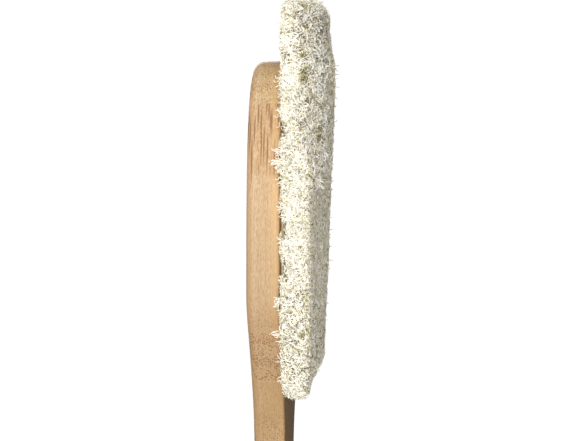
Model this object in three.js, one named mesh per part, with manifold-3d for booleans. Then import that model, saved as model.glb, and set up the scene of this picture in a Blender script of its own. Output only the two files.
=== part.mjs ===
// A loofah back scrubber: a bamboo paddle and its long flat handle, cut from one glued-up board,
// with a thick loofah pad bonded to the face of the paddle.
//
// It lies on its back, as it would on a shelf. +Z points out of the scrubbing face, and the flat back
// of the bamboo is at z = 0. X runs along the handle: the head is at -X, the hanging hole at +X.
// Y is across the width. The origin is under the middle of the whole. All sizes are millimetres.

import * as THREE from "three";
import { mergeVertices } from "three/addons/utils/BufferGeometryUtils.js";
import Module from "manifold-3d";

// Driving sizes of the bamboo board.
const OVERALL_LENGTH = 420; // from the pad's tip to the end of the handle
const HEAD_WIDTH = 65.8;
const HEAD_THICKNESS = 13.6;
const HEAD_TIP_TO_WIDEST = 86; // the paddle widens slowly from its blunt tip
const HEAD_WIDEST_LENGTH = 8;
const HEAD_TIP_BLUNTNESS = 24; // how squarely the tip starts across
const HEAD_SIDE_EASE = 70; // how early the side straightens out
const SHOULDER_LENGTH = 65;
const SHOULDER_EASE = 12; // a short bend at the head, and a long one into the handle
const NECK_EASE = 30;
const HANDLE_WIDTH = 25;
const HANDLE_THICKNESS = 12.8;
const BACK_EDGE_RADIUS = 3.5; // the edges that the hand meets are rounded more
const FRONT_EDGE_RADIUS = 2;
const STRIP_WIDTH = 6.5; // upright bamboo strips, glued side by side
const STRIPS_PER_SIDE = 5;
const GLUE_LINE = 0.1;
const HANGING_HOLE_RADIUS = 4;
const HANGING_HOLE_INSET = 15; // from the handle's end to the middle of the hole
const HOLE_CHAMFER = 0.8;

// Driving sizes of the loofah pad and what bonds it.
const PAD_LENGTH = 160;
const PAD_WIDTH = 79;
const PAD_OVERHANG = 24; // how far the pad stands past the tip of the bamboo
const PAD_TIP_ROUNDING = 12; // the length that each end takes to turn across
const PAD_NECK_ROUNDING = 15;
const PAD_BLUNTNESS = 0.55; // how squarely each end is cut, as a share of the half width
const PAD_TIP_THICKNESS = 12.6;
const PAD_NECK_THICKNESS = { near: 11.4, far: 7.4 }; // cut by hand, it thins towards one corner
const PAD_EDGE_RADIUS = 2.5;
const BED_THICKNESS = 0.9;
const BED_INSET = 5; // the adhesive bed stays this far in from the bamboo's edge
const FIT_GAP = 0.1;

// How finely curves are cut.
const CURVE_STEPS = 16;
const EDGE_STEPS = 3;
const HOLE_STEPS = 32;

// Worked out from the driving sizes.
const PAD_TIP_X = -OVERALL_LENGTH / 2;
const PAD_NECK_X = PAD_TIP_X + PAD_LENGTH;
const BOARD_END_X = OVERALL_LENGTH / 2;
const BOARD_TIP_X = PAD_TIP_X + PAD_OVERHANG;
const WIDEST_X = BOARD_TIP_X + HEAD_TIP_TO_WIDEST;
const SHOULDER_X = WIDEST_X + HEAD_WIDEST_LENGTH;
const NECK_X = SHOULDER_X + SHOULDER_LENGTH;
const HOLE_X = BOARD_END_X - HANGING_HOLE_INSET;
const BED_BOTTOM = HEAD_THICKNESS + FIT_GAP / 2;
const PAD_BOTTOM = HEAD_THICKNESS + BED_THICKNESS + FIT_GAP;

const FINISHES = {
  bamboo: { color: 0xd9ab72, roughness: 0.5, metalness: 0 },
  loofah: { color: 0xefe6cd, roughness: 0.95, metalness: 0 },
  adhesive: { color: 0xe8dfc8, roughness: 0.35, metalness: 0 },
};

const wasm = await Module();
wasm.setup();

// A three.js geometry as a manifold-3d solid.
function solidOf(geometry) {
  const bare = geometry.clone();
  bare.deleteAttribute("normal");
  bare.deleteAttribute("uv");
  const merged = mergeVertices(bare, 1e-4);
  return new wasm.Manifold(
    new wasm.Mesh({
      numProp: 3,
      vertProperties: merged.attributes.position.array,
      triVerts: new Uint32Array(merged.index.array),
    }),
  );
}

// A manifold-3d solid as a three.js geometry.
function geometryOf(solid) {
  const mesh = solid.getMesh();
  const corners = new Float32Array(mesh.numVert * 3);
  for (let i = 0; i < mesh.numVert; i++) {
    const start = i * mesh.numProp;
    corners.set(mesh.vertProperties.subarray(start, start + 3), i * 3);
  }
  const geometry = new THREE.BufferGeometry();
  geometry.setAttribute("position", new THREE.BufferAttribute(corners, 3));
  geometry.setIndex(new THREE.BufferAttribute(mesh.triVerts, 1));
  geometry.computeVertexNormals();
  return geometry;
}

// The board seen from above. `inset` draws the outline in across the width and at both ends.
function boardOutline(inset = 0) {
  const head = HEAD_WIDTH / 2 - inset;
  const handle = HANDLE_WIDTH / 2 - inset;
  const tipX = BOARD_TIP_X + inset;
  const blunt = HEAD_TIP_BLUNTNESS - inset;
  const sideX = WIDEST_X - HEAD_SIDE_EASE;
  const bendX = SHOULDER_X + SHOULDER_EASE;
  const easeX = NECK_X - NECK_EASE;
  const arcX = BOARD_END_X - HANDLE_WIDTH / 2;
  const shape = new THREE.Shape();
  shape.moveTo(tipX, 0);
  shape.bezierCurveTo(tipX, -blunt, sideX, -head, WIDEST_X, -head);
  shape.lineTo(SHOULDER_X, -head);
  shape.bezierCurveTo(bendX, -head, easeX, -handle, NECK_X, -handle);
  shape.absarc(arcX, 0, handle, -Math.PI / 2, Math.PI / 2);
  shape.lineTo(NECK_X, handle);
  shape.bezierCurveTo(easeX, handle, bendX, head, SHOULDER_X, head);
  shape.lineTo(WIDEST_X, head);
  shape.bezierCurveTo(sideX, head, tipX, blunt, tipX, 0);
  return shape;
}

// The loofah pad seen from above: straight sides, and ends cut in one shallow sweep.
function padOutline() {
  const half = PAD_WIDTH / 2;
  const blunt = half * PAD_BLUNTNESS;
  const tipSideX = PAD_TIP_X + PAD_TIP_ROUNDING;
  const neckSideX = PAD_NECK_X - PAD_NECK_ROUNDING;
  const shape = new THREE.Shape();
  shape.moveTo(PAD_TIP_X, 0);
  shape.bezierCurveTo(PAD_TIP_X, -blunt, PAD_TIP_X, -half, tipSideX, -half);
  shape.lineTo(neckSideX, -half);
  shape.bezierCurveTo(PAD_NECK_X, -half, PAD_NECK_X, -blunt, PAD_NECK_X, 0);
  shape.bezierCurveTo(PAD_NECK_X, blunt, PAD_NECK_X, half, neckSideX, half);
  shape.lineTo(tipSideX, half);
  shape.bezierCurveTo(PAD_TIP_X, half, PAD_TIP_X, blunt, PAD_TIP_X, 0);
  return shape;
}

// A slab of the outline with rounded edges, standing on z = 0.
function roundedSlab(outline, thickness, radius) {
  const geometry = new THREE.ExtrudeGeometry(outline, {
    depth: thickness - 2 * radius,
    bevelEnabled: true,
    bevelThickness: radius,
    bevelSize: radius,
    bevelOffset: -radius,
    bevelSegments: EDGE_STEPS,
    curveSegments: CURVE_STEPS,
  });
  return geometry.translate(0, 0, radius);
}

function plainSlab(outline, thickness) {
  return new THREE.ExtrudeGeometry(outline, {
    depth: thickness,
    bevelEnabled: false,
    curveSegments: CURVE_STEPS,
  });
}

// Scales each point's height, so that a slab of thickness `from` gets the thickness `to(x, y)` there.
function taper(geometry, from, to) {
  const places = geometry.getAttribute("position");
  for (let i = 0; i < places.count; i++) {
    const share = to(places.getX(i), places.getY(i)) / from;
    places.setZ(i, places.getZ(i) * share);
  }
  return geometry;
}

function boxBetween(low, high) {
  const size = high.map((value, axis) => value - low[axis]);
  const middle = high.map((value, axis) => (value + low[axis]) / 2);
  return new THREE.BoxGeometry(...size).translate(...middle);
}

// The board thins from the head to the handle along the shoulders.
function boardThickness(x) {
  const share = THREE.MathUtils.smoothstep(x, SHOULDER_X, NECK_X);
  return THREE.MathUtils.lerp(HEAD_THICKNESS, HANDLE_THICKNESS, share);
}

// The pad keeps its thickness across its tip, and over the handle it is thinner on the +Y side.
function padThickness(x, y) {
  const along = (x - PAD_TIP_X) / PAD_LENGTH;
  const across = y / PAD_WIDTH + 0.5;
  const neck = THREE.MathUtils.lerp(PAD_NECK_THICKNESS.near, PAD_NECK_THICKNESS.far, across);
  return THREE.MathUtils.lerp(PAD_TIP_THICKNESS, neck, along);
}

// The hanging hole, with a small chamfer at each face.
function hangingHole() {
  const half = HANDLE_THICKNESS / 2;
  const wide = HANGING_HOLE_RADIUS + HOLE_CHAMFER;
  const profile = [
    new THREE.Vector2(0, -half - 1),
    new THREE.Vector2(wide + 1, -half - 1),
    new THREE.Vector2(wide, -half),
    new THREE.Vector2(HANGING_HOLE_RADIUS, -half + HOLE_CHAMFER),
    new THREE.Vector2(HANGING_HOLE_RADIUS, half - HOLE_CHAMFER),
    new THREE.Vector2(wide, half),
    new THREE.Vector2(wide + 1, half + 1),
    new THREE.Vector2(0, half + 1),
  ];
  const turned = new THREE.LatheGeometry(profile, HOLE_STEPS);
  return turned.rotateX(Math.PI / 2).translate(HOLE_X, 0, half);
}

// The whole board before it is parted into strips. One slab gives the back's edge and another the
// front's, and the board is what they share.
function board() {
  const spare = 2 * BACK_EDGE_RADIUS;
  const height = HEAD_THICKNESS + spare;
  const backSlab = roundedSlab(boardOutline(), height, BACK_EDGE_RADIUS);
  const frontSlab = roundedSlab(boardOutline(), height, FRONT_EDGE_RADIUS).translate(0, 0, -spare);
  const even = geometryOf(solidOf(backSlab).intersect(solidOf(frontSlab)));
  const thinned = taper(even, HEAD_THICKNESS, boardThickness);
  return solidOf(thinned).subtract(solidOf(hangingHole()));
}

const scrubber = new THREE.Group();

function addPiece(name, geometry, finish) {
  const mesh = new THREE.Mesh(geometry, new THREE.MeshStandardMaterial(finish));
  mesh.name = name;
  scrubber.add(mesh);
  return mesh;
}

// The bamboo strips stand on edge, so each is as tall as the board is thick. The middle four run the
// whole length and make the handle; the others end at the shoulders.
function addStrips() {
  const whole = board();
  const count = 2 * STRIPS_PER_SIDE;
  for (let k = 0; k < count; k++) {
    const start = (k - STRIPS_PER_SIDE) * STRIP_WIDTH;
    const low = k === 0 ? -HEAD_WIDTH : start + GLUE_LINE / 2;
    const high = k === count - 1 ? HEAD_WIDTH : start + STRIP_WIDTH - GLUE_LINE / 2;
    const window = boxBetween([-OVERALL_LENGTH, low, -1], [OVERALL_LENGTH, high, HEAD_THICKNESS + 1]);
    const strip = geometryOf(whole.intersect(solidOf(window)));
    addPiece(`bamboo_strip_${String(k + 1).padStart(2, "0")}`, strip, FINISHES.bamboo);
  }
}

// The waterproof adhesive bed that holds the pad to the paddle. It stops where the shoulders start.
function addAdhesiveBed() {
  const window = boxBetween([-OVERALL_LENGTH, -HEAD_WIDTH, -1], [SHOULDER_X, HEAD_WIDTH, HEAD_THICKNESS]);
  const slab = solidOf(plainSlab(boardOutline(BED_INSET), BED_THICKNESS));
  const bed = addPiece("adhesive_bed", geometryOf(slab.intersect(solidOf(window))), FINISHES.adhesive);
  bed.position.z = BED_BOTTOM;
}

// One length of loofah, opened, pressed flat and trimmed to a tongue wider than the paddle.
function addPad() {
  const slab = roundedSlab(padOutline(), PAD_TIP_THICKNESS, PAD_EDGE_RADIUS);
  const trimmed = solidOf(taper(slab, PAD_TIP_THICKNESS, padThickness));
  addPiece("loofah_pad", geometryOf(trimmed), FINISHES.loofah).position.z = PAD_BOTTOM;
}

addStrips();
addAdhesiveBed();
addPad();

export default scrubber;
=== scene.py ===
# %% [markdown]
# # A loofah back scrubber
# A bamboo paddle with a long flat handle carries a thick pad of dried loofah. The board is glued up
# from upright strips, and the pad is a felt of plant fibres, so the work has two halves: a hard
# shape made with a bevel and boolean cuts, and a soft one that is mostly thin tubes. The packed
# model gives the places and sizes. It is loaded first.

# %% Load the imported model
import math
from collections import namedtuple

import bmesh
import bpy
import numpy as np
from mathutils import Matrix, Vector, noise
from mathutils.geometry import interpolate_bezier


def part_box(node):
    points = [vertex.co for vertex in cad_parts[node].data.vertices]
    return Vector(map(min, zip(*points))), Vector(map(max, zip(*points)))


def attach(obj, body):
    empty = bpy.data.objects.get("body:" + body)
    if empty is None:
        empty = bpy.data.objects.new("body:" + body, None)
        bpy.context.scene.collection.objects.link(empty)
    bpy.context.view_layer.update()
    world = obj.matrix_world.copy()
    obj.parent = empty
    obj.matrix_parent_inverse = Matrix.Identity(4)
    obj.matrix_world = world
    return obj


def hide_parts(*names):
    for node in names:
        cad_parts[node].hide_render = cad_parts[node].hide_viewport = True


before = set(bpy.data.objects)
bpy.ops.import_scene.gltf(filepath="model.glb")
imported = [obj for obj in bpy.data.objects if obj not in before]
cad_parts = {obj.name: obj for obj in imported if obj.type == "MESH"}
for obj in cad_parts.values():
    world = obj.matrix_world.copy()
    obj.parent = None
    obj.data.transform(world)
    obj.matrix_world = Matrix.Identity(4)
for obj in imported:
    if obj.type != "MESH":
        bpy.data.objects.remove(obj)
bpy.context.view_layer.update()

MM = 0.001
strip_nodes = sorted(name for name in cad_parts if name.startswith("bamboo_strip"))
pad_low, pad_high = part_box("loofah_pad")
bed_low, bed_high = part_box("adhesive_bed")
board_low = Vector(map(min, *(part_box(name)[0] for name in strip_nodes)))
board_high = Vector(map(max, *(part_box(name)[1] for name in strip_nodes)))
print(f"{len(strip_nodes)} strips, board {(board_high.x - board_low.x) / MM:.1f} mm long")
print(f"pad {(pad_high.x - pad_low.x) / MM:.1f} x {(pad_high.y - pad_low.y) / MM:.1f} mm")

# %% [markdown]
# ## The studio
# The scrubber lies on its bamboo back. The camera stands beside it, just above the level of the
# scrubbing face, and is rolled a quarter turn, so the tip of the pad is at the top of the frame.
# A long lens from 0.9 m keeps the edges almost parallel. The studio is white and lights more from
# below than from above. Its pale floor lies well below the scrubber, where no shadow reaches it, and
# only the camera sees it. The key light stands low and close to the camera, so the object's edges are
# bright and its scrubbing face, which looks up, is only grazed. Two more lamps light the pad's neck
# end and, from below, the far side.

# %% The camera
VIEW_DISTANCE = 0.9
VIEW_TILT = math.radians(8.2)  # how far the camera is raised above the bench
VIEW_PAST_TIP = 88.1 * MM  # from the pad's tip to the middle of the frame
VIEW_HEIGHT = 14.6 * MM
LENS = 137

right = Vector((0, math.sin(VIEW_TILT), math.cos(VIEW_TILT)))
up = Vector((-1, 0, 0))
back = Vector((0, -math.cos(VIEW_TILT), math.sin(VIEW_TILT)))
focus = Vector((pad_low.x + VIEW_PAST_TIP, 0, VIEW_HEIGHT))

camera = bpy.data.objects.new("camera", bpy.data.cameras.new("camera"))
camera.data.lens = LENS
camera.data.clip_start, camera.data.clip_end = 0.01, 100
camera.matrix_world = Matrix.Translation(focus + back * VIEW_DISTANCE) @ (
    Matrix((right, up, back)).transposed().to_4x4()
)
bpy.context.scene.collection.objects.link(camera)
bpy.context.scene.camera = camera
bpy.context.scene.view_settings.view_transform = "Standard"
print("camera at", [round(c, 3) for c in camera.matrix_world.translation])


# %% Short ways to add things
def add_object(name, data):
    made = bpy.data.objects.new(name, data)
    bpy.context.scene.collection.objects.link(made)
    return made


def mesh_from(bm, name):
    """A mesh of the bmesh, which is used up."""
    mesh = bpy.data.meshes.new(name)
    bm.to_mesh(mesh)
    bm.free()
    return mesh


def use_up(obj):
    """Remove an object and its mesh."""
    mesh = obj.data
    bpy.data.objects.remove(obj)
    bpy.data.meshes.remove(mesh)


def modify(obj, name, kind, **settings):
    """One new modifier."""
    made = obj.modifiers.new(name, kind)
    for key, value in settings.items():
        setattr(made, key, value)


def node(tree, kind, inputs=None, **settings):
    """One new node. An input is given either a value or another node's output, which is linked."""
    made = tree.nodes.new("ShaderNode" + kind)
    for key, value in settings.items():
        setattr(made, key, value)
    for key, value in (inputs or {}).items():
        if isinstance(value, bpy.types.NodeSocket):
            tree.links.new(value, made.inputs[key])
        else:
            made.inputs[key].default_value = value
    return made


def new_material(name, **plain):
    """A Principled material. Returns it with its node tree and its shader."""
    material = bpy.data.materials.new(name)
    material.use_nodes = True
    tree = material.node_tree
    shader = tree.nodes["Principled BSDF"]
    for key, value in plain.items():
        shader.inputs[key.replace("_", " ").title()].default_value = value
    return material, tree, shader


# %% The lights
GLOW_BELOW = 0.72
GLOW_ABOVE = 0.175
GLOW_HORIZON = (-0.35, 0.2)  # the heights of a direction between which the glow changes
SEEN_WHITE = 1.05  # the studio as the camera sees it
FLOOR_DROP = 3.0
FLOOR_REACH = 12


def add_sky():
    """White where it is seen. As a light it is bright below and dim above."""
    world = bpy.data.worlds.new("studio")
    world.use_nodes = True
    bpy.context.scene.world = world
    tree = world.node_tree
    tree.nodes.clear()
    direction = node(tree, "TexCoord").outputs["Generated"]
    height = node(tree, "SeparateXYZ", {"Vector": direction}).outputs["Z"]
    low, high = GLOW_HORIZON
    inputs = {"Value": height, "From Min": low, "From Max": high}
    inputs |= {"To Min": GLOW_BELOW, "To Max": GLOW_ABOVE}
    glow = node(tree, "MapRange", inputs, interpolation_type="SMOOTHSTEP").outputs["Result"]
    seen = node(tree, "LightPath").outputs["Is Camera Ray"]
    inputs = {0: seen, 2: glow, 3: SEEN_WHITE}
    strength = node(tree, "Mix", inputs, data_type="FLOAT").outputs[0]
    sky = node(tree, "Background", {"Color": (1, 1, 1, 1), "Strength": strength})
    node(tree, "OutputWorld", {"Surface": sky.outputs["Background"]})


def add_lamp(name, place, aim, size, power, colour=(1, 1, 1)):
    lamp = add_object(name, bpy.data.lights.new(name, "AREA"))
    lamp.data.shape = "RECTANGLE"
    lamp.data.size, lamp.data.size_y = size
    lamp.data.energy = power
    lamp.data.color = colour
    lamp.location = place
    lamp.rotation_mode = "QUATERNION"
    lamp.rotation_quaternion = (Vector(aim) - Vector(place)).to_track_quat("-Z", "Y")
    lamp.visible_camera = False


def add_floor():
    """A plain pale sheet below everything."""
    bm = bmesh.new()
    bmesh.ops.create_grid(bm, x_segments=1, y_segments=1, size=FLOOR_REACH)
    bmesh.ops.translate(bm, verts=bm.verts, vec=(0, 0, -FLOOR_DROP))
    mesh = mesh_from(bm, "floor")
    material, _, shader = new_material("pale_floor", roughness=0.9)
    shader.inputs["Base Color"].default_value = (0.9, 0.9, 0.9, 1)
    shader.inputs["Emission Color"].default_value = (1, 1, 1, 1)
    shader.inputs["Emission Strength"].default_value = SEEN_WHITE
    mesh.materials.append(material)
    floor = add_object("floor", mesh)
    for ray in ("diffuse", "glossy", "shadow", "transmission"):
        setattr(floor, f"visible_{ray}", False)


add_sky()
add_floor()
add_lamp("key", (-0.18, -0.75, 0.115), (-0.12, 0, 0.01), (1.0, 0.2), 9.5, (1, 0.985, 0.96))
add_lamp("neck_end", (0.7, -0.3, 0.0), (-0.05, 0, 0.02), (0.2, 0.15), 2.4, (1, 0.987, 0.965))
add_lamp("far_side", (-0.1, 0.8, -0.25), (-0.05, 0, 0.01), (1.0, 0.3), 7)

# %% [markdown]
# ## The bamboo board
# The paddle and its handle are cut from one board. Each side of its outline is two Bezier curves,
# two straight lines and an arc, and the cage is a prism on it. A Bevel modifier with edge weights
# rounds the back edges more than the front ones, where a curve's own bevel would give both the same
# radius. The thickness falls by under a millimetre along the shoulders, so the board is cut across
# there first, to bend cleanly.

# %% The board's outline
HEAD_TIP_TO_WIDEST = 86 * MM
HEAD_WIDEST_LENGTH = 8 * MM
HEAD_TIP_BLUNTNESS = 24 * MM
HEAD_SIDE_EASE = 70 * MM
SHOULDER_LENGTH = 65 * MM
SHOULDER_EASE = 12 * MM
NECK_EASE = 30 * MM
HANDLE_WIDTH = 25 * MM
HANDLE_THICKNESS = 12.8 * MM
CURVE_STEPS = 28

widest_x = board_low.x + HEAD_TIP_TO_WIDEST
shoulder_x = widest_x + HEAD_WIDEST_LENGTH
neck_x = shoulder_x + SHOULDER_LENGTH


def bezier(points, steps=CURVE_STEPS):
    """The curve's points but the last, which is the next curve's first."""
    flat = [Vector((x, y, 0)) for x, y in points]
    return [tuple(p.xy) for p in interpolate_bezier(*flat, steps + 1)][:-1]


def board_side(inset=0.0):
    """One side of the board from its tip to its end, seen from above, drawn in by inset."""
    head = board_high.y - inset
    handle = HANDLE_WIDTH / 2 - inset
    tip_x = board_low.x + inset
    arc_x = board_high.x - HANDLE_WIDTH / 2
    tip = [(tip_x, 0), (tip_x, HEAD_TIP_BLUNTNESS - inset)]
    side = bezier(tip + [(widest_x - HEAD_SIDE_EASE, head), (widest_x, head)])
    side += [(widest_x, head)]
    shoulder = [(shoulder_x, head), (shoulder_x + SHOULDER_EASE, head)]
    side += bezier(shoulder + [(neck_x - NECK_EASE, handle), (neck_x, handle)])
    side += [(neck_x, handle)]
    for k in range(CURVE_STEPS // 2 + 1):
        angle = math.pi / 2 * (1 - 2 * k / CURVE_STEPS)
        side.append((arc_x + handle * math.cos(angle), handle * math.sin(angle)))
    return side


def closed_outline(side):
    """A side from the middle line to the middle line, joined to its mirror image."""
    return side + [(x, -y) for x, y in reversed(side[1:-1])]


def prism(outline, low, high):
    """A bmesh of the outline between two heights."""
    bm = bmesh.new()
    floor = [bm.verts.new((x, y, low)) for x, y in outline]
    roof = [bm.verts.new((x, y, high)) for x, y in outline]
    bm.faces.new(floor)
    bm.faces.new(roof)
    for k, corner in enumerate(floor):
        after = (k + 1) % len(floor)
        bm.faces.new((corner, floor[after], roof[after], roof[k]))
    bmesh.ops.recalc_face_normals(bm, faces=bm.faces)
    return bm


outline = closed_outline(board_side())
print(f"board outline: {len(outline)} points")

# %% The board in one piece
BACK_EDGE_RADIUS = 3.5 * MM
FRONT_EDGE_RADIUS = 1.1 * MM
EDGE_STEPS = 6
CROSS_CUT = 5 * MM  # how far apart the shoulders are cut across


def finished_mesh(obj, name):
    """The object's mesh as its modifiers leave it. The object is used up."""
    graph = bpy.context.evaluated_depsgraph_get()
    mesh = bpy.data.meshes.new_from_object(obj.evaluated_get(graph), depsgraph=graph)
    use_up(obj)
    mesh.name = name
    return mesh


def smooth_share(value, start, end):
    """0 at the start, 1 at the end and past it, and a soft rise between."""
    share = np.clip((value - start) / (end - start), 0, 1)
    return share * share * (3 - 2 * share)


def board_thickness(x):
    thinned = (board_high.z - HANDLE_THICKNESS) * smooth_share(x, shoulder_x, neck_x)
    return board_high.z - thinned


def board_mesh():
    bm = prism(outline, 0, board_high.z)
    weights = bm.edges.layers.float.new("bevel_weight_edge")
    for edge in bm.edges:
        first, second = (v.co.z for v in edge.verts)
        if first == second:
            edge[weights] = FRONT_EDGE_RADIUS / BACK_EDGE_RADIUS if first > 0 else 1
    board = add_object("board_cage", mesh_from(bm, "board_cage"))
    rounding = {"width": BACK_EDGE_RADIUS, "segments": EDGE_STEPS, "use_clamp_overlap": False}
    modify(board, "rounded_edges", "BEVEL", limit_method="WEIGHT", **rounding)
    mesh = finished_mesh(board, "board")
    bm = bmesh.new()
    bm.from_mesh(mesh)
    for x in np.arange(shoulder_x, neck_x + CROSS_CUT, CROSS_CUT):
        parts = bm.verts[:] + bm.edges[:] + bm.faces[:]
        bmesh.ops.bisect_plane(bm, geom=parts, plane_co=(x, 0, 0), plane_no=(1, 0, 0))
    for v in bm.verts:
        v.co.z *= board_thickness(v.co.x) / board_high.z
    bm.to_mesh(mesh)
    print(f"board: {len(bm.faces)} faces, {bm.calc_volume() * 1e6:.1f} cm3")
    bm.free()
    return mesh


# %% [markdown]
# The hanging hole is cut with a turned shape, a profile with rounded mouths that the Screw modifier
# spins. Then each strip is what the board shares with a tall window, a hair narrower than the
# strip's pitch, so the glue lines stay as fine dark joints. A texture could only paint these joints,
# and their ends at the shoulders would be lost.

# %% Cutting tools
STRIP_PITCH = 6.5 * MM
GLUE_LINE = 0.08 * MM
HOLE_RADIUS = 4 * MM
HOLE_INSET = 15 * MM
MOUTH_RADIUS = 1 * MM
MOUTH_STEPS = 5
TURN_STEPS = 48
TOOL_SPARE = 2 * MM  # how far the hole tool stands out of the board


def hole_tool():
    """The solid that the hanging hole takes away, turned from its profile."""
    top = HANDLE_THICKNESS
    reach = HOLE_RADIUS + MOUTH_RADIUS
    mouth = [math.pi / 2 * k / MOUTH_STEPS for k in range(MOUTH_STEPS + 1)]
    above = [(reach - MOUTH_RADIUS * math.sin(a), top - MOUTH_RADIUS + MOUTH_RADIUS * math.cos(a))
             for a in mouth]
    below = [(x, top - z) for x, z in reversed(above)]
    profile = [(0, top + TOOL_SPARE), (reach + TOOL_SPARE, top + TOOL_SPARE), (reach, top)]
    profile += above[1:] + below[:-1]
    profile += [(reach, 0), (reach + TOOL_SPARE, -TOOL_SPARE), (0, -TOOL_SPARE)]
    links = [(k, k + 1) for k in range(len(profile) - 1)]
    mesh = bpy.data.meshes.new("hole_profile")
    mesh.from_pydata([(x, 0, z) for x, z in profile], links, [])
    tool = add_object("hole_tool", mesh)
    joined = {"use_merge_vertices": True, "merge_threshold": 0.01 * MM}
    modify(tool, "turned", "SCREW", steps=TURN_STEPS, render_steps=TURN_STEPS, **joined)
    mesh = finished_mesh(tool, "hole_tool")
    bm = bmesh.new()
    bm.from_mesh(mesh)
    bmesh.ops.translate(bm, verts=bm.verts, vec=(board_high.x - HOLE_INSET, 0, 0))
    bmesh.ops.recalc_face_normals(bm, faces=bm.faces)
    bm.to_mesh(mesh)
    bm.free()
    return add_object("hole_tool", mesh)


def window_tool(low, high):
    reach = 2 * board_high.x
    outline = [(-reach, low), (reach, low), (reach, high), (-reach, high)]
    bm = prism(outline, -MM, board_high.z + MM)
    return add_object("window", mesh_from(bm, "window"))


def cut(mesh, tool, operation, name):
    """A new mesh: what the boolean leaves of the old one. The tool is used up."""
    work = add_object(name, mesh.copy())
    modify(work, "cut", "BOOLEAN", operation=operation, solver="EXACT", object=tool)
    made = finished_mesh(work, name)
    use_up(tool)
    return made


def volume(mesh):
    """The mesh's volume in cm3, and how many of its edges are open."""
    bm = bmesh.new()
    bm.from_mesh(mesh)
    loose = sum(not edge.is_manifold for edge in bm.edges)
    size = bm.calc_volume(signed=True)
    bm.free()
    return size * 1e6, loose


# %% [markdown]
# ## The bamboo itself
# Bamboo has no rings. It has dark bundles of fibre in a pale ground, and they crowd together towards
# the outer skin of the culm. On a face that runs with the grain they are streaks, and where the
# outline cuts across it they are dots, so the pattern is solid: it is worked out in space and the
# surface only slices it. A flat Voronoi pattern, laid across the grain, gives bundles without an
# end, and a solid one gives the dots. The place across each strip says how close to the skin it is,
# and a random number for each strip changes its tone.

# %% Arithmetic in a shader
class Pattern:
    """Short names for the nodes that a material's pattern is worked out with."""

    def __init__(self, tree):
        self.tree = tree
        self.place = self.add("TexCoord").outputs["Object"]
        self.axes = self.add("SeparateXYZ", {"Vector": self.place}).outputs

    def add(self, kind, inputs=None, **settings):
        return node(self.tree, kind, inputs, **settings)

    def maths(self, operation, first, second=0.0, third=0.0):
        inputs = {0: first, 1: second, 2: third}
        return self.add("Math", inputs, operation=operation).outputs["Value"]

    def times(self, first, *others):
        for other in others:
            first = self.maths("MULTIPLY", first, other)
        return first

    def vectors(self, operation, first, second):
        inputs = {0: first, "Scale" if operation == "SCALE" else 1: second}
        return self.add("VectorMath", inputs, operation=operation).outputs[0]

    def scaled(self, place, scale):
        return self.add("Mapping", {"Vector": place, "Scale": scale}).outputs[0]

    def remap(self, value, low, high, to_low=0.0, to_high=1.0, easing="SMOOTHSTEP"):
        inputs = {"Value": value, "From Min": low, "From Max": high}
        inputs |= {"To Min": to_low, "To Max": to_high}
        made = self.add("MapRange", inputs, interpolation_type=easing)
        return made.outputs["Result"]

    def blend(self, share, first, second):
        inputs = {0: share, 6: first, 7: second}
        return self.add("Mix", inputs, data_type="RGBA").outputs[2]

    def noise(self, scale, detail):
        inputs = {"Vector": self.scaled(self.place, scale), "Scale": 1.0, "Detail": detail}
        return self.add("TexNoise", inputs).outputs

    def cells(self, places, scale, randomness, inner, outer, **settings):
        """1 in the middle of each cell, falling to 0 between two distances from it."""
        inputs = {"Vector": places, "Scale": scale, "Randomness": randomness}
        cell = self.add("TexVoronoi", inputs, **settings)
        return self.remap(cell.outputs["Distance"], inner, outer, 1.0, 0.0)


# %% Strips and grain
SLIVER = 31.5 * MM  # beyond this, each side of the board ends in the pale edge of one more strip
SLIVER_BLUR = 0.08 * MM
GRAIN_WANDER = 1.0 * MM
STRIP_SHIFT = 3.7  # how far one strip's grain is moved along from the last one's, in metres
BUNDLES_PER_METRE = 1250
STREAKS_PER_METRE = 1020
LINES_PER_METRE = 1300


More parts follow.
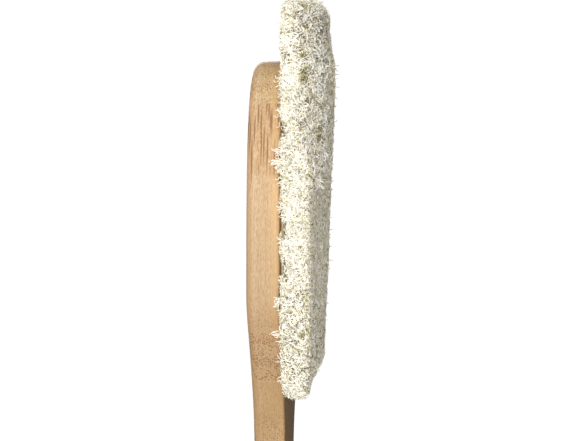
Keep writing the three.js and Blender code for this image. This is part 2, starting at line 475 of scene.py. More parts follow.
class Bamboo(Pattern):
    """Where each strip lies, and how its grain runs."""

    def __init__(self, tree):
        super().__init__(tree)
        half = len(strip_nodes) / 2
        across = self.maths("DIVIDE", self.axes["Y"], STRIP_PITCH)
        inputs = {"Value": across, "Min": 0.001 - half, "Max": half - 0.001}
        across = self.add("Clamp", inputs).outputs[0]
        self.strip = self.maths("FLOOR", across)
        self.from_middle = self.maths("ABSOLUTE", self.axes["Y"])
        sliver = self.remap(self.from_middle, SLIVER - SLIVER_BLUR, SLIVER + SLIVER_BLUR)
        towards_skin = self.maths("SUBTRACT", across, self.strip)
        self.towards_skin = self.times(towards_skin, self.maths("SUBTRACT", 1.0, sliver))
        value = self.add("TexWhiteNoise", {"W": self.strip}, noise_dimensions="1D")
        self.strip_value = value.outputs["Value"]

        # The grain wanders a little, and no two strips share it.
        drift = self.noise((14, 70, 70), 1.0)["Color"]
        drift = self.vectors("SUBTRACT", drift, (0.5, 0.5, 0.5))
        drift = self.vectors("SCALE", drift, GRAIN_WANDER)
        shift = {"X": self.maths("MULTIPLY", self.strip, STRIP_SHIFT)}
        shift = self.add("CombineXYZ", shift).outputs[0]
        self.grain = self.vectors("ADD", self.vectors("ADD", self.place, drift), shift)
        self.grain_axes = self.add("SeparateXYZ", {"Vector": self.grain}).outputs

    def dots(self):
        places = self.scaled(self.grain, (0.9, 0.2, 1))
        return self.cells(places, BUNDLES_PER_METRE, 0.6, 0.16, 0.56)

    def streaks(self, flatness, per_metre, inner, outer):
        """Bundles without an end: the pattern is the same all along the grain."""
        height = self.maths("MULTIPLY_ADD", self.strip, 0.37, self.grain_axes["Z"])
        inputs = {"X": height, "Y": self.maths("MULTIPLY", self.grain_axes["Y"], flatness)}
        places = self.add("CombineXYZ", inputs).outputs[0]
        return self.cells(places, per_metre, 0.9, inner, outer, voronoi_dimensions="2D")


# %% [markdown]
# The outermost strips come from a thicker culm: their bundles are wide and flat towards the tip, in
# orange ground. Elsewhere they are fine lines. Where the outline cuts across them, and on the handle,
# they are dots. The ground has hairs and clouds in it and grows darker towards the handle. Light and
# shade are painted on it too: a more saturated orange towards the front face, where the light falls
# off by the pad, painted shade along the rounded back edge, and a painted highlight line where that
# rounding ends. Now and then a strip crosses a joint of the culm: a thin dark band in a soft one.

# %% Bamboo
FIBRE_STRENGTH = 0.92
CULM_JOINT_SPACING = 0.15
BAMBOO_TONES = {
    "pale": (0.43, 0.322, 0.198, 1),
    "amber": (0.41, 0.25, 0.107, 1),
    "orange": (0.42, 0.262, 0.128, 1),
    "tip": (0.49, 0.355, 0.185, 1),
    "dark_hair": (0.28, 0.155, 0.065, 1),
    "light_hair": (0.60, 0.46, 0.29, 1),
    "cloud": (0.42, 0.265, 0.135, 1),
    "dark_strip": (0.37, 0.235, 0.12, 1),
    # painted shade: a darker, redder tone along the rounded back edge
    "back_edge_painted_shade": (0.43, 0.26, 0.145, 1),
    # painted highlight: a pale line where the rounded back edge meets the side
    "painted_highlight_line": (0.62, 0.50, 0.42, 1),
    # painted light: a more saturated orange towards the front face, where the light falls off
    "front_painted_light": (0.50, 0.305, 0.125, 1),
    # the ground grows darker towards the handle
    "darker_towards_handle": (0.235, 0.145, 0.066, 1),
    "fibre": (0.13, 0.055, 0.015, 1),
    "culm_joint": (0.32, 0.18, 0.08, 1),
}


def bamboo_zones(b):
    """Where the wide streaks are, and where the fibres show as dots."""
    x = b.axes["X"]
    outermost = len(strip_nodes) / 2 - 0.5
    edge_strip = b.maths("COMPARE", b.maths("ABSOLUTE", b.maths("ADD", b.strip, 0.5)), outermost, 0.1)
    tip_half = b.remap(x, widest_x - 40 * MM, widest_x - 20 * MM, 1.0, 0.0)
    skin = b.times(b.towards_skin, b.maths("MULTIPLY_ADD", edge_strip, 2.4, 1.0))
    crowding = b.remap(skin, 0.15, 0.85)
    streaked = b.times(edge_strip, tip_half)
    outer_line = 3 * STRIP_PITCH
    outer = b.remap(b.from_middle, outer_line - 0.1 * MM, outer_line + 0.1 * MM)
    shoulder = b.times(b.remap(x, widest_x + 10 * MM, widest_x + 30 * MM), outer)
    tip_end = b.remap(x, widest_x - 72 * MM, widest_x - 66 * MM, 0.55, 0.0)
    patches = b.remap(b.noise((40, 120, 120), 2.0)["Fac"], 0.42, 0.56, 0.3, 0.85)
    handle = b.times(b.remap(x, shoulder_x + 36 * MM, shoulder_x + 60 * MM), patches)
    dotted = b.maths("MAXIMUM", b.maths("MAXIMUM", shoulder, tip_end), handle)
    return streaked, crowding, shoulder, dotted


def bamboo_ground(b, streaked, crowding, shoulder):
    """The colour between the fibres."""
    x, z = b.axes["X"], b.axes["Z"]
    tones = BAMBOO_TONES
    hairs = b.noise((650, 2500, 2500), 1.0)["Fac"]
    clouds = b.noise((9, 160, 160), 4.0)["Fac"]
    orange = b.maths("MAXIMUM", streaked, b.times(shoulder, 0.8))
    # a painted highlight: a pale band just where the rounded back edge ends
    painted_highlight_line = b.maths("SUBTRACT", b.remap(z, 2.6 * MM, 3.3 * MM), b.remap(z, 3.5 * MM, 4.6 * MM))
    amber = b.remap(b.from_middle, 18.5 * MM, 20.5 * MM, 0.75, 0.1)
    ground = b.blend(amber, tones["pale"], tones["amber"])
    layers = [
        (b.times(orange, crowding, 0.7), "orange"),
        (b.remap(x, widest_x - 74 * MM, widest_x - 64 * MM, 0.7, 0.0), "tip"),
        (b.remap(hairs, 0.45, 0.68, 0.0, 0.7), "dark_hair"),
        (b.remap(hairs, 0.28, 0.45, 0.45, 0.0), "light_hair"),
        (b.remap(clouds, 0.3, 0.75, 0.0, 0.35), "cloud"),
        (b.remap(b.strip_value, 0.0, 1.0, 0.0, 0.2), "dark_strip"),
        # painted shade along the rounded back edge, darkest next to the back face
        (b.remap(z, 1.6 * MM, 3.0 * MM, 0.5, 0.0), "back_edge_painted_shade"),
        (b.times(painted_highlight_line, 0.16), "painted_highlight_line"),
        # painted light: the ground turns a more saturated orange towards the front face
        (b.remap(z, 8.6 * MM, 11.8 * MM, 0.0, 0.5), "front_painted_light"),
        # darker towards the handle
        (b.remap(x, widest_x - 45 * MM, widest_x + 50 * MM, 0.0, 0.62), "darker_towards_handle"),
    ]
    for share, tone in layers:
        ground = b.blend(share, ground, tones[tone])
    return ground


def bamboo_material():
    material, tree, shader = new_material("lacquered_bamboo", coat_weight=0.06, coat_roughness=0.4)
    shader.inputs["Specular IOR Level"].default_value = 0.22
    b = Bamboo(tree)
    streaked, crowding, shoulder, dotted = bamboo_zones(b)
    wide = b.times(b.streaks(0.22, STREAKS_PER_METRE, 0.12, 0.42), streaked, crowding, 0.8)
    lines = b.streaks(0.5, LINES_PER_METRE, 0.12, 0.4)
    lines = b.times(lines, b.maths("SUBTRACT", 0.16, b.times(dotted, 0.1)))
    dots = b.times(b.dots(), dotted)
    fibre = b.maths("MAXIMUM", b.maths("MAXIMUM", wide, dots), lines)
    ground = bamboo_ground(b, streaked, crowding, shoulder)
    colour = b.blend(b.times(fibre, FIBRE_STRENGTH), ground, BAMBOO_TONES["fibre"])

    along = b.maths("MULTIPLY_ADD", b.strip_value, 0.31, b.axes["X"])
    along = b.maths("PINGPONG", along, CULM_JOINT_SPACING)
    ring = b.remap(along, 0.0, 1.1 * MM, 1.0, 0.0)
    halo = b.remap(along, 0.0, 5 * MM, 0.35, 0.0)
    joint = b.maths("MAXIMUM", b.times(ring, 0.5), halo)
    colour = b.blend(joint, colour, BAMBOO_TONES["culm_joint"])
    tree.links.new(colour, shader.inputs["Base Color"])

    rough = b.remap(fibre, 0.0, 1.0, 0.5, 0.62)
    tree.links.new(rough, shader.inputs["Roughness"])
    inputs = {"Height": fibre, "Strength": 0.25, "Distance": 0.04 * MM}
    bump = b.add("Bump", inputs, invert=True)
    tree.links.new(bump.outputs["Normal"], shader.inputs["Normal"])
    return material


bamboo = bamboo_material()


# %% The strips
def add_strips():
    whole = cut(board_mesh(), hole_tool(), "DIFFERENCE", "board_with_hole")
    for k, cad_node in enumerate(strip_nodes):
        start = (k - len(strip_nodes) / 2) * STRIP_PITCH
        low = start + GLUE_LINE / 2 - STRIP_PITCH * (k == 0)
        high = start + STRIP_PITCH - GLUE_LINE / 2 + STRIP_PITCH * (k == len(strip_nodes) - 1)
        name = f"board_{cad_node[-8:]}"
        mesh = cut(whole, window_tool(low, high), "INTERSECT", name)
        mesh.shade_smooth()
        mesh.set_sharp_from_angle(angle=math.radians(32))
        mesh.materials.clear()
        mesh.materials.append(bamboo)
        strip = add_object(name, mesh)
        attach(strip, "root")
        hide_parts(cad_node)
        size, loose = volume(mesh)
        print(f"{name}: {len(mesh.polygons)} faces, {size:.2f} cm3, {loose} open edges")
    bpy.data.meshes.remove(whole)


add_strips()

# %% [markdown]
# ## The glue
# A thin bed of glue holds the pad on the board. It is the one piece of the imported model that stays
# as it is, because only its edge can be seen, deep in the joint. Its finish is dried contact glue:
# amber, slightly glossy and a little cloudy.

# %% Dried glue
def glue_material():
    material, tree, shader = new_material("dried_glue", roughness=0.35)
    pattern = Pattern(tree)
    clouds = pattern.noise((160, 160, 160), 3.0)["Fac"]
    colour = pattern.blend(clouds, (0.52, 0.37, 0.17, 1), (0.70, 0.57, 0.34, 1))
    tree.links.new(colour, shader.inputs["Base Color"])
    return material


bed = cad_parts["adhesive_bed"]
bed.data.materials.clear()
bed.data.materials.append(glue_material())
print(f"glue bed: {(bed_high.z - bed_low.z) / MM:.2f} mm thick")

# %% [markdown]
# ## The loofah pad
# A loofah is the skeleton of a gourd: a springy net of plant fibres, dried stiff and cut to shape.
# The pad's cut edges are a crimped fluff, and its scrubbing face is a finer, flatter net. A cushion
# would be inflated with cloth physics, but this pad has no cover and no filling and hardly bends, so
# nothing is simulated. A lumpy core fills the inside, and tens of thousands of thin curled tubes are
# laid on it, each anchored below the surface.
#
# The form comes first: a rounded prism, remeshed into even quads, whose heights are then set by a
# function. The pad is thick towards its tip, dips at the very end, and is thinner towards the neck,
# more so on the far side. Its near edge is worn low over the tip half.

# %% The pad's form
PAD_EDGE_RADIUS = 2.5 * MM
PAD_TIP_ROUNDING = 12 * MM
PAD_NECK_ROUNDING = 15 * MM
PAD_BLUNTNESS = 0.55
PAD_TIP_THICKNESS = 12.6 * MM
PAD_NECK_THICKNESS = (11.4 * MM, 7.4 * MM)  # near side, far side
TIP_DIP = 2.6 * MM
TIP_DIP_ENDS = (6 * MM, 26 * MM)  # from the tip, as all of these are
TIP_LIP = 1.1 * MM  # in the dip, the very end stands up again
TIP_LIP_ENDS = (1 * MM, 9 * MM)
SWELL = 0.4 * MM  # the pad bulges behind the dip
SWELL_RISES = (16 * MM, 30 * MM)
SWELL_FALLS = (50 * MM, 85 * MM)
FAR_SAG = 0.5 * MM
FAR_SAG_GROWS = (105 * MM, 138 * MM)
NECK_FALL = (2 * MM, 5 * MM)  # how far the neck end is worn down: near side, far side
NECK_FALL_START, NECK_FALL_LENGTH = 147 * MM, 13 * MM
NECK_NARROWING = 0.42  # and how much its far corner is cut back
DRAWN_IN = (1.0 * MM, 1.9 * MM)  # the form stops short at the tip and at the neck, for the fluff
WORN_EDGE = 4.6 * MM
WORN_REACH = 30 * MM
WORN_LENGTH = 70 * MM
WORN_FADE = 14 * MM
FORM_VOXEL = 1.5 * MM


def pad_outline():
    half = pad_high.y
    tip, neck = pad_low.x, pad_high.x
    blunt = PAD_BLUNTNESS * half
    side = bezier([(tip, 0), (tip, blunt), (tip, half), (tip + PAD_TIP_ROUNDING, half)])
    side += [(tip + PAD_TIP_ROUNDING, half)]
    side += bezier([(neck - PAD_NECK_ROUNDING, half), (neck, half), (neck, blunt), (neck, 0)])
    side += [(neck, 0)]
    return closed_outline(side)


def pad_top(x, y):
    """The height of the scrubbing face at these places."""
    from_tip = x - pad_low.x
    along = from_tip / (pad_high.x - pad_low.x)
    across = (y - pad_low.y) / (pad_high.y - pad_low.y)
    near, far = PAD_NECK_THICKNESS
    thickness = PAD_TIP_THICKNESS + (near + (far - near) * across - PAD_TIP_THICKNESS) * along
    thickness -= TIP_DIP * (1 - smooth_share(from_tip, *TIP_DIP_ENDS))
    thickness += TIP_LIP * (1 - smooth_share(from_tip, *TIP_LIP_ENDS))
    behind_swell = smooth_share(from_tip, *SWELL_FALLS)
    thickness += SWELL * smooth_share(from_tip, *SWELL_RISES) * (1 - behind_swell)
    near_fall, far_fall = NECK_FALL
    fall = near_fall + (far_fall - near_fall) * across
    thickness -= fall * np.clip((from_tip - NECK_FALL_START) / NECK_FALL_LENGTH, 0, 1.1)
    thickness -= FAR_SAG * across * smooth_share(from_tip, *FAR_SAG_GROWS)
    into_edge = np.clip(1 - (y - pad_low.y) / WORN_REACH, 0, 1)
    fades = 1 - smooth_share(from_tip, WORN_LENGTH - WORN_FADE, WORN_LENGTH)
    return pad_low.z + thickness - WORN_EDGE * into_edge**2 * fades


def vectors_of(items, what):
    """The items' coordinates or normals, one row for each."""
    numbers = np.empty(len(items) * 3)
    items.foreach_get(what, numbers)
    return numbers.reshape(-1, 3)


def pad_form():
    bm = prism(pad_outline(), 0, PAD_TIP_THICKNESS)
    work = add_object("pad_cage", mesh_from(bm, "pad_cage"))
    rounding = {"width": PAD_EDGE_RADIUS, "segments": 4, "angle_limit": math.radians(60)}
    modify(work, "rounded_edges", "BEVEL", limit_method="ANGLE", **rounding)
    modify(work, "even_quads", "REMESH", mode="VOXEL", voxel_size=FORM_VOXEL)
    mesh = finished_mesh(work, "pad_form")
    places = vectors_of(mesh.vertices, "co")
    x, y, z = places.T
    rise = np.clip(z / PAD_TIP_THICKNESS, 0, 1)
    z[:] = pad_low.z + rise * (pad_top(x, y) - pad_low.z)
    cut_back = NECK_NARROWING * smooth_share(x, pad_high.x - 15 * MM, pad_high.x)
    y *= np.where(y > 0, 1 - cut_back, 1)
    middle = (pad_low.x + pad_high.x) / 2
    tip_share = smooth_share(x, middle, pad_low.x)
    neck_share = smooth_share(x, middle, pad_high.x)
    x += DRAWN_IN[0] * tip_share - DRAWN_IN[1] * neck_share
    mesh.vertices.foreach_set("co", places.ravel())
    mesh.update()
    return mesh


form = pad_form()

# %% [markdown]
# The core is that form drawn in by two millimetres, subdivided and made lumpy by a Displace modifier.
# It only shows where the fibres part, and its colour is painted shade standing for the depth of the
# net: dark under the cut edges, lighter under the two flat faces, and darkest in the middle of each
# hole. Over the glue it isn't drawn in: a vertex group holds its underside flat on the bed.

# %% The core
CORE_INSET = 2.1 * MM
BED_MARGIN = 3 * MM  # the underside is held down this far inside the glue bed's box
BED_TIP_MARGIN = 12 * MM  # and this far behind its round tip
BED_BLEND = 3 * MM
LUMP_WIDTH = 2.2 * MM
LUMP_STRENGTH = 1.3 * MM
NET_HOLES_PER_METRE = 900


def core_material():
    material, tree, shader = new_material("loofah_core_painted_shade", roughness=0.8)
    pattern = Pattern(tree)
    inputs = {"Vector": pattern.place, "Scale": NET_HOLES_PER_METRE}
    net = pattern.add("TexVoronoi", inputs, feature="DISTANCE_TO_EDGE")
    share = pattern.remap(net.outputs["Distance"], 0, 0.25, easing="LINEAR")
    # Painted shade for the depth of the net: dark under the cut edges, lighter under the flat faces.
    edge_painted_shade = pattern.blend(share, (0.30, 0.25, 0.13, 1), (0.12, 0.09, 0.04, 1))
    face_painted_shade = pattern.blend(share, (0.66, 0.59, 0.41, 1), (0.34, 0.29, 0.16, 1))
    direction = pattern.add("TexCoord").outputs["Normal"]
    rise = pattern.add("SeparateXYZ", {"Vector": direction}).outputs["Z"]
    flat = pattern.remap(pattern.maths("ABSOLUTE", rise), 0.45, 0.8, easing="LINEAR")
    colour = pattern.blend(flat, edge_painted_shade, face_painted_shade)
    tree.links.new(colour, shader.inputs["Base Color"])
    return material


def free_of_the_bed(place):
    """0 on the underside over the glue bed, 1 everywhere else."""
    from_tip = place.x - bed_low.x - BED_TIP_MARGIN
    from_neck = bed_high.x - BED_MARGIN - place.x
    from_side = bed_high.y - BED_MARGIN - abs(place.y)
    over = smooth_share(min(from_tip, from_neck, from_side), 0, BED_BLEND)
    return 1 - over if place.z < pad_low.z + 0.3 * MM else 1


def add_core():
    core = add_object("loofah_core", form.copy())
    free = core.vertex_groups.new(name="free")
    for v in core.data.vertices:
        free.add([v.index], free_of_the_bed(v.co), "REPLACE")
    texture = bpy.data.textures.new("lumps", "CLOUDS")
    texture.noise_scale = LUMP_WIDTH
    lumps = {"texture": texture, "texture_coords": "LOCAL", "strength": LUMP_STRENGTH}
    modify(core, "drawn_in", "DISPLACE", vertex_group="free", strength=-CORE_INSET, mid_level=0)
    modify(core, "finer", "SUBSURF", levels=1, render_levels=1)
    modify(core, "lumps", "DISPLACE", vertex_group="free", mid_level=0.6, **lumps)
    core.data.materials.clear()
    core.data.materials.append(core_material())
    core.data.shade_smooth()
    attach(core, "root")
    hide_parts("loofah_pad")


add_core()

# %% [markdown]
# Each fibre is a short helix that opens towards one end. The tubes are three-sided and closed, so
# that forty thousand of them stay light. Hair curves would be lighter still, but they are not a mesh
# and would be lost when the part is used elsewhere. NumPy makes all of one kind at once, from one
# seeded generator.

# %% Fibres
FIBRE_POINTS = 7
FIBRE_SIDES = 3
FIBRES_IN_A_PIECE = 5000
END_TAPER = 0.55
TONES = {
    "pale_fibre": (0.95, 0.925, 0.83, 1),
    "cream_fibre": (0.90, 0.86, 0.74, 1),
    "straw_fibre": (0.80, 0.71, 0.49, 1),
    "green_straw_fibre": (0.58, 0.55, 0.27, 1),
    "brown_fibre": (0.33, 0.27, 0.16, 1),
}
PALE, CREAM, STRAW, GREEN, BROWN = range(5)
chance = np.random.default_rng(20)


def fibre_materials():
    made = []
    for name, colour in TONES.items():
        material, _, shader = new_material(name, roughness=0.55)
        shader.inputs["Base Color"].default_value = colour
        shader.inputs["Specular IOR Level"].default_value = 0.3
        made.append(material)
    return made


fibre_finishes = fibre_materials()


def unit(vectors):
    return vectors / np.maximum(np.linalg.norm(vectors, axis=-1, keepdims=True), 1e-12)


def between(low, high, count):
    return chance.uniform(low, high, count)


def curls(middles, directions, length, curl, turns):
    """The paths of helical fibres: one row of points for each middle and direction."""
    count = len(middles)
    step = np.linspace(-0.5, 0.5, FIBRE_POINTS)[None, :, None]
    first = unit(np.cross(directions, unit(chance.normal(size=(count, 3)))))
    second = np.cross(directions, first)
    angle = between(0, 2 * math.pi, count)[:, None, None]
    angle = angle + 2 * math.pi * turns[:, None, None] * step
    wide_end = chance.choice((-1, 1), count)[:, None, None]
    opening = curl[:, None, None] * (1 + 0.5 * step * wide_end)
    circle = np.cos(angle) * first[:, None] + np.sin(angle) * second[:, None]
    return middles[:, None] + directions[:, None] * length[:, None, None] * step + opening * circle


def tubes(name, paths, radius, tone):
    """One mesh of closed tubes along the paths."""
    count, points, _ = paths.shape
    along = unit(np.gradient(paths, axis=1))
    helper = unit(chance.normal(size=(count, 1, 3)))
    side = unit(np.cross(along, helper))
    other = np.cross(along, side)
    taper = np.ones(points)
    taper[0] = taper[-1] = END_TAPER
    reach = (radius[:, None] * taper)[:, :, None, None]
    angle = 2 * math.pi * np.arange(FIBRE_SIDES) / FIBRE_SIDES
    ring = np.cos(angle)[:, None] * side[:, :, None] + np.sin(angle)[:, None] * other[:, :, None]
    places = paths[:, :, None] + reach * ring
    index = np.arange(count * points * FIBRE_SIDES).reshape(count, points, FIBRE_SIDES)
    after = np.roll(index, -1, axis=2)
    walls = [index[:, :-1], after[:, :-1], after[:, 1:], index[:, 1:]]
    walls = np.stack(walls, axis=-1).reshape(count, -1, 4)
    caps = np.stack([index[:, 0, ::-1], index[:, -1]], axis=1)
    corners = np.concatenate([walls.reshape(count, -1), caps.reshape(count, -1)], axis=1)
    sizes = np.array([4] * walls.shape[1] + [FIBRE_SIDES] * 2)
    starts = np.concatenate([[0], np.cumsum(sizes)[:-1]])
    starts = starts[None] + np.arange(count)[:, None] * corners.shape[1]
    mesh = bpy.data.meshes.new(name)
    mesh.vertices.add(places.size // 3)
    mesh.vertices.foreach_set("co", places.ravel())
    mesh.loops.add(corners.size)
    mesh.loops.foreach_set("vertex_index", corners.ravel())
    mesh.polygons.add(starts.size)
    mesh.polygons.foreach_set("loop_start", starts.ravel())
    for finish in fibre_finishes:
        mesh.materials.append(finish)
    mesh.polygons.foreach_set("material_index", np.repeat(tone, len(sizes)))
    mesh.update()
    mesh.shade_smooth()
    return mesh


def add_fibres(name, paths, radius, tone):
    """The fibres as pieces of the pad, cut into runs from the tip to the neck."""
    order = np.argsort(paths[:, 0, 0])
    runs = np.array_split(order, math.ceil(len(order) / FIBRES_IN_A_PIECE))
    for k, run in enumerate(runs, 1):
        mesh = tubes(f"{name}_{k}", paths[run], radius[run], tone[run])
        piece = add_object(f"{name}_{k}", mesh)
        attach(piece, "root")
        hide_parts("loofah_pad")
    print(f"{name}: {len(paths)} fibres in {len(runs)} pieces")


# %% [markdown]
# Each kind of fibre has a number to the square millimetre, ranges in millimetres or turns, and the
# share of each tone. Sink is how deep a fibre's middle lies, and lean how much it leaves the surface.

# %% The kinds of fibre
Kind = namedtuple("Kind", "per_mm2 length curl turns sink lean radius tones")

FLUFF = Kind(
    per_mm2=3.6, length=(1.8, 5.4), curl=(0.35, 0.95), turns=(0.6, 1.7),
    sink=(-0.1, 1.2), lean=(-0.5, 0.45), radius=(0.1, 0.21),
    tones=(0.70, 0.24, 0.03, 0.02, 0.01),
)
WORN_FLUFF = Kind(
    per_mm2=1.5, length=(2.4, 5.6), curl=(0.5, 1.2), turns=(0.5, 1.5),
    sink=(-1.2, 1.1), lean=(-0.2, 1.1), radius=(0.13, 0.23),
    tones=(0.74, 0.10, 0.10, 0.01, 0.05),
)
TRIMMED_FLUFF = Kind(
    per_mm2=3.0, length=(2.2, 5.0), curl=(0.3, 0.7), turns=(0.4, 1.2),
    sink=(0.4, 1.2), lean=(-0.25, 0.2), radius=(0.12, 0.2),
    tones=(0.42, 0.38, 0.15, 0.03, 0.02),
)
FACE_NET = Kind(
    per_mm2=2.1, length=(1.8, 4.4), curl=(0.25, 0.6), turns=(0.5, 1.4),
    sink=(0.2, 0.9), lean=(-0.15, 0.15), radius=(0.12, 0.19),
    tones=(0.3, 0.45, 0.2, 0.03, 0.02),
)
UNDER_NET = Kind(
    per_mm2=1.8, length=(2.4, 5.2), curl=(0.3, 0.6), turns=(0.3, 1.0),
    sink=(0.3, 0.9), lean=(-0.15, 0.2), radius=(0.13, 0.2),
    tones=(0.4, 0.4, 0.15, 0.03, 0.02),
)


# %% Where the fibres grow
def triangles_of(mesh):
    """The corners of the mesh's triangles, and the normals there."""
    mesh.calc_loop_triangles()
    corners = np.empty(len(mesh.loop_triangles) * 3, dtype=np.int64)
    mesh.loop_triangles.foreach_get("vertices", corners)
    corners = corners.reshape(-1, 3)
    places = vectors_of(mesh.vertices, "co")
    directions = vectors_of(mesh.vertex_normals, "vector")
    return places[corners], directions[corners]


triangle_places, triangle_normals = triangles_of(form)
bpy.data.meshes.remove(form)
centres = triangle_places.mean(axis=1)
facing = unit(triangle_normals.mean(axis=1))
sides = triangle_places[:, 1:] - triangle_places[:, :1]
areas = np.linalg.norm(np.cross(sides[:, 0], sides[:, 1]), axis=1) / 2


def over_board(x, y, inset=2 * MM):
    """Whether a place lies above the board, well inside its outline."""
    side = np.array(board_side(inset))
    order = np.argsort(side[:, 0])
    reach = np.interp(x, side[order, 0], side[order, 1], left=0)
    return np.abs(y) < reach


STEEP = 0.6  # a surface whose normal rises less than this belongs to the cut edge
from_tip = centres[:, 0] - pad_low.x
edge = np.abs(facing[:, 2]) < STEEP
far = facing[:, 1] > 0.3
face = facing[:, 2] >= STEEP
under = (facing[:, 2] <= -STEEP) & ~over_board(centres[:, 0], centres[:, 1])
worn = smooth_share(centres[:, 1], 2 * MM, -16 * MM)
worn *= smooth_share(from_tip, WORN_LENGTH + 8 * MM, WORN_LENGTH - 20 * MM)
looser = 1 - 0.4 * smooth_share(from_tip, 100 * MM, 125 * MM)  # towards the neck
zones = {  # how much of each kind grows on each triangle, from 0 to 1
    "near_fluff": (edge * ~far * looser, FLUFF),
    "far_fluff": (edge * far * 1.0, TRIMMED_FLUFF),
    "worn_fluff": (face * worn, WORN_FLUFF),
    "face_net": (face * (1 - worn), FACE_NET),
    "under_net": (under * 1.0, UNDER_NET),
}


def scatter(zone, kind):
    """Places and normals for one kind's fibres, spread evenly over its zone."""
    weights = areas * zone
    count = int(weights.sum() * 1e6 * kind.per_mm2)
    chosen = chance.choice(len(weights), count, p=weights / weights.sum())
    first, second = chance.random((2, count, 1))
    over = first + second > 1
    first, second = np.where(over, 1 - first, first), np.where(over, 1 - second, second)
    shares = np.stack([1 - first - second, first, second], axis=1)
    places = (triangle_places[chosen] * shares).sum(axis=1)
    return places, unit((triangle_normals[chosen] * shares).sum(axis=1))


# %% [markdown]
# A few pits open along the worn edge, greenish round their rims, and the deepest fibres everywhere
# get darker tones, as painted shade. A fibre keeps out of the pits and away from the bare places of
# the joint. Neighbours run the same way in locks, whose direction is smooth noise, and a larger
# noise makes the pad lumpy.

# %% Growing them
PITS = [  # from the tip, across, size, in mm
    (5, -31, 1.1), (13, -31, 1.0), (19.6, -20, 1.2), (31.7, -36, 1.5), (43.4, -34, 1.2),
    (24, -37, 0.9),
]
PIT_SHAPE = np.array((0.8, 1.9, 1.0)) * MM  # of a pit of size 1
PIT_RIM = 1.3  # out to this many times the pit's size
GREEN_IN_RIM = 0.7  # this share of the fibres round a pit is green-straw
BROWN_PLACE = (54, -21, 8)  # a brownish place, given in the same way
GAPS = [(23.5, 26.5), (50, 55.5), (87.5, 94.5), (103.5, 110)]  # bare places of the joint
GAP_HEIGHT = 1.6 * MM
SHADE_DEPTH = 0.35  # in mm: how deep the layer of fibres in darker tones is, as painted shade
SHADE_SHARE = 0.3  # or this share of it, where that is more
# the darker tones of the deepest fibres, which are painted shade, and of the brownish place
SHADE_AND_BROWN_TONES = (STRAW, GREEN, BROWN, BROWN)
LOCK_SIZE = 2.6 * MM  # how wide a lock of fibres runs the same way
LOCK_SWING = 9  # in radians
LOCK_SPREAD = 0.75
LUMP_SIZE = 6.5 * MM
LUMP_HEIGHT = 0.6  # in mm, and a third of it on the scrubbing face


def wave(places, size, seed):
    """Smooth noise from about -1 to 1 at each place."""
    shift = Vector((seed * 31.7, seed * 17.3, 0))
    return np.array([noise.noise(Vector(place) / size + shift) for place in places.tolist()])


def pit_places():
    """The pits' middles, on the scrubbing face, and their sizes."""
    x, y, size = np.array(PITS).T
    x, y = pad_low.x + x * MM, y * MM
    return np.stack([x, y, pad_top(x, y) - 0.3 * MM], axis=1), size


def pit_distance(paths):
    """How far each fibre keeps from the nearest pit, where 1 is just outside it."""
    gone = np.full(len(paths), np.inf)
    for middle, size in zip(*pit_places()):
        away = np.linalg.norm((paths - middle) / (PIT_SHAPE * size), axis=2).min(axis=1)
        gone = np.minimum(gone, away)
    return gone


def in_brown_place(places):
    x, y, radius = np.array(BROWN_PLACE) * MM
    gone = np.hypot(places[:, 0] - pad_low.x - x, places[:, 1] - y) / radius
    return (places[:, 2] > pad_low.z + 6 * MM) & (chance.random(len(places)) * 0.9 > gone)


def over_gap(paths):
    """Which fibres would cover a bare place of the joint."""
    low = paths[:, :, 2].min(axis=1) < pad_low.z + GAP_HEIGHT
    low &= paths[:, 0, 1] < 0
    from_tip = (paths[:, :, 0].mean(axis=1) - pad_low.x) / MM
    return low & np.any([(from_tip > start) & (from_tip < end) for start, end in GAPS], axis=0)


def grow(name, zone, kind):
    places, normals = scatter(zone, kind)
    count = len(places)
    first = unit(np.cross(normals, (0.31, 0.17, 0.93)))
    second = np.cross(normals, first)
    angle = LOCK_SWING * wave(places, LOCK_SIZE, 1) + chance.normal(0, LOCK_SPREAD, count)
    flat = np.cos(angle)[:, None] * first + np.sin(angle)[:, None] * second
    directions = unit(flat + between(*kind.lean, count)[:, None] * normals)
    depth = between(*kind.sink, count)
    lumps = LUMP_HEIGHT / 3 if kind is FACE_NET else LUMP_HEIGHT
    sink = depth - lumps * wave(places, LUMP_SIZE, 2)
    middles = places - normals * sink[:, None] * MM
    length = between(*kind.length, count) * MM
    curl = between(*kind.curl, count) * MM
    paths = curls(middles, directions, length, curl, between(*kind.turns, count))
    tone = chance.choice(len(TONES), count, p=kind.tones)
    # Painted shade: the deepest fibres of each kind take darker tones, and so does the brownish
    # place.
    shade_depth = max(SHADE_DEPTH, SHADE_SHARE * (kind.sink[1] - kind.sink[0]))
    inner = (depth > kind.sink[1] - shade_depth) | in_brown_place(places)
    tone = np.where(inner, chance.choice(SHADE_AND_BROWN_TONES, count), tone)
    from_pit = pit_distance(paths)
    tone = np.where((from_pit < PIT_RIM) & (chance.random(count) < GREEN_IN_RIM), GREEN, tone)
    keep = (from_pit > 1) & ~over_gap(paths)
    add_fibres(name, paths[keep], between(*kind.radius, count)[keep] * MM, tone[keep])


for name, (zone, kind) in zones.items():
    grow(name, zone, kind)

# %% [markdown]
# A pad cut from a loofah always has loose ends. A fringe hangs from the near lower edge, in tufts
# with gaps where the dark joint shows, one pale tuft stands up on the scrubbing face, and short ends
# stick out along the far edge. A loose end is the same helix, started inside the pad.

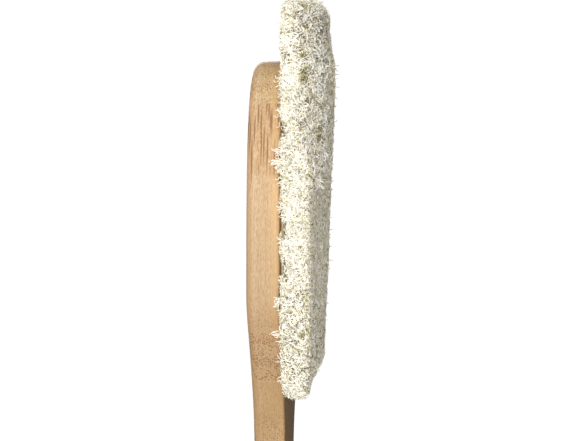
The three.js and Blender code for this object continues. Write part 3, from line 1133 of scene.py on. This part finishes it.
# %% Tufts and loose ends
FRINGE = [  # from the tip, how many, longest, in mm
    (31, 4, 1.8), (35, 6, 3.0), (39, 4, 1.6), (47, 5, 3.4), (50, 2, 2.6), (61, 9, 2.8),
    (64.5, 26, 4.6), (68, 10, 2.6), (73, 6, 1.8), (82, 5, 2.4), (97, 5, 1.8), (100, 4, 1.6),
    (112, 5, 1.6), (119, 16, 3.8), (123, 6, 2.2), (131.5, 12, 4.2), (135, 6, 2.2), (142, 8, 2.6),
    (148, 5, 1.6), (151, 5, 1.4),
]


def near_edge(x):
    """Where the pad's near edge is at these places along it."""
    side = np.array([(x, -y) for x, y in pad_outline() if y >= 0])
    order = np.argsort(side[:, 0])
    drawn_in = DRAWN_IN[1] * smooth_share(x, pad_high.x - 30 * MM, pad_high.x)
    return np.interp(x + drawn_in, side[order, 0], side[order, 1])


def loose_ends(roots, directions, length, curl, turns):
    """Curls that start at their roots and run outwards."""
    directions = unit(np.stack(directions, axis=1))
    reach = directions * length[:, None]
    return curls(roots + reach / 2, directions, length, curl, turns)


def fringe():
    roots, lengths = [], []
    for from_tip, count, longest in FRINGE:
        x = pad_low.x + from_tip * MM + chance.normal(0, 0.9 * MM, count)
        y = near_edge(x) + between(0.1, 1.6, count) * MM
        z = pad_low.z + between(0.2, 2.2, count) * MM
        roots.append(np.stack([x, y, z], axis=1))
        lengths.append(between(0.45, 1.0, count) * longest * MM)
    roots, lengths = np.concatenate(roots), np.concatenate(lengths)
    count = len(roots)
    directions = [chance.normal(0, 0.9, count), between(-0.7, 0, count), -np.ones(count)]
    curl, turns = between(0.2, 0.8, count) * MM, between(0.4, 1.2, count)
    return loose_ends(roots, directions, lengths + 0.4 * MM, curl, turns)


def face_tuft():
    count = 44
    x = pad_low.x + 70.5 * MM + chance.normal(0, 1.2 * MM, count)
    y = -24 * MM + chance.normal(0, 2.0 * MM, count)
    roots = np.stack([x, y, pad_top(x, y) - 0.4 * MM], axis=1)
    directions = [chance.normal(0.7, 0.9, count), between(-1.2, 0.1, count), between(0.4, 0.9, count)]
    curl, turns = between(0.1, 0.4, count) * MM, between(0.2, 0.5, count)
    return loose_ends(roots, directions, between(2.5, 6.5, count) * MM, curl, turns)


def pit_fibres():
    """Straw and green fibres low in the pits."""
    middles, size = pit_places()
    middles, size = np.repeat(middles, 20, axis=0), np.repeat(size, 20)
    count = len(middles)
    middles = middles + chance.normal(0, 0.5, (count, 3)) * PIT_SHAPE * size[:, None]
    middles[:, 2] -= 0.9 * MM
    directions = unit(chance.normal(size=(count, 3)) * (1, 1, 0.2))
    length, curl = between(1.5, 3, count) * MM, between(0.2, 0.5, count) * MM
    return curls(middles, directions, length, curl, between(0.3, 1, count))


def far_ends():
    count = 26
    x = between(pad_low.x + 8 * MM, pad_high.x - 20 * MM, count)
    y = pad_high.y - between(0.3, 2.0, count) * MM
    roots = np.stack([x, y, pad_top(x, y) - 0.8 * MM], axis=1)
    directions = [chance.normal(0, 0.6, count), between(0, 0.6, count), np.ones(count)]
    length = between(1.2, 2.6, count)
    length[:3] = 3.6
    roots[:3, 0] = pad_low.x + np.array((30, 32, 35)) * MM
    curl, turns = between(0.1, 0.5, count) * MM, between(0.2, 0.9, count)
    return loose_ends(roots, directions, length * MM, curl, turns)


def add_loose_ends():
    groups = [
        (fringe(), (PALE, CREAM)),
        (face_tuft(), (PALE,)),
        (far_ends(), (BROWN,)),
        (pit_fibres(), (STRAW, GREEN)),
    ]
    paths = np.concatenate([group for group, _ in groups])
    tone = np.concatenate([chance.choice(tones, len(group)) for group, tones in groups])
    add_fibres("loose_ends", paths, between(0.1, 0.17, len(paths)) * MM, tone)


add_loose_ends()
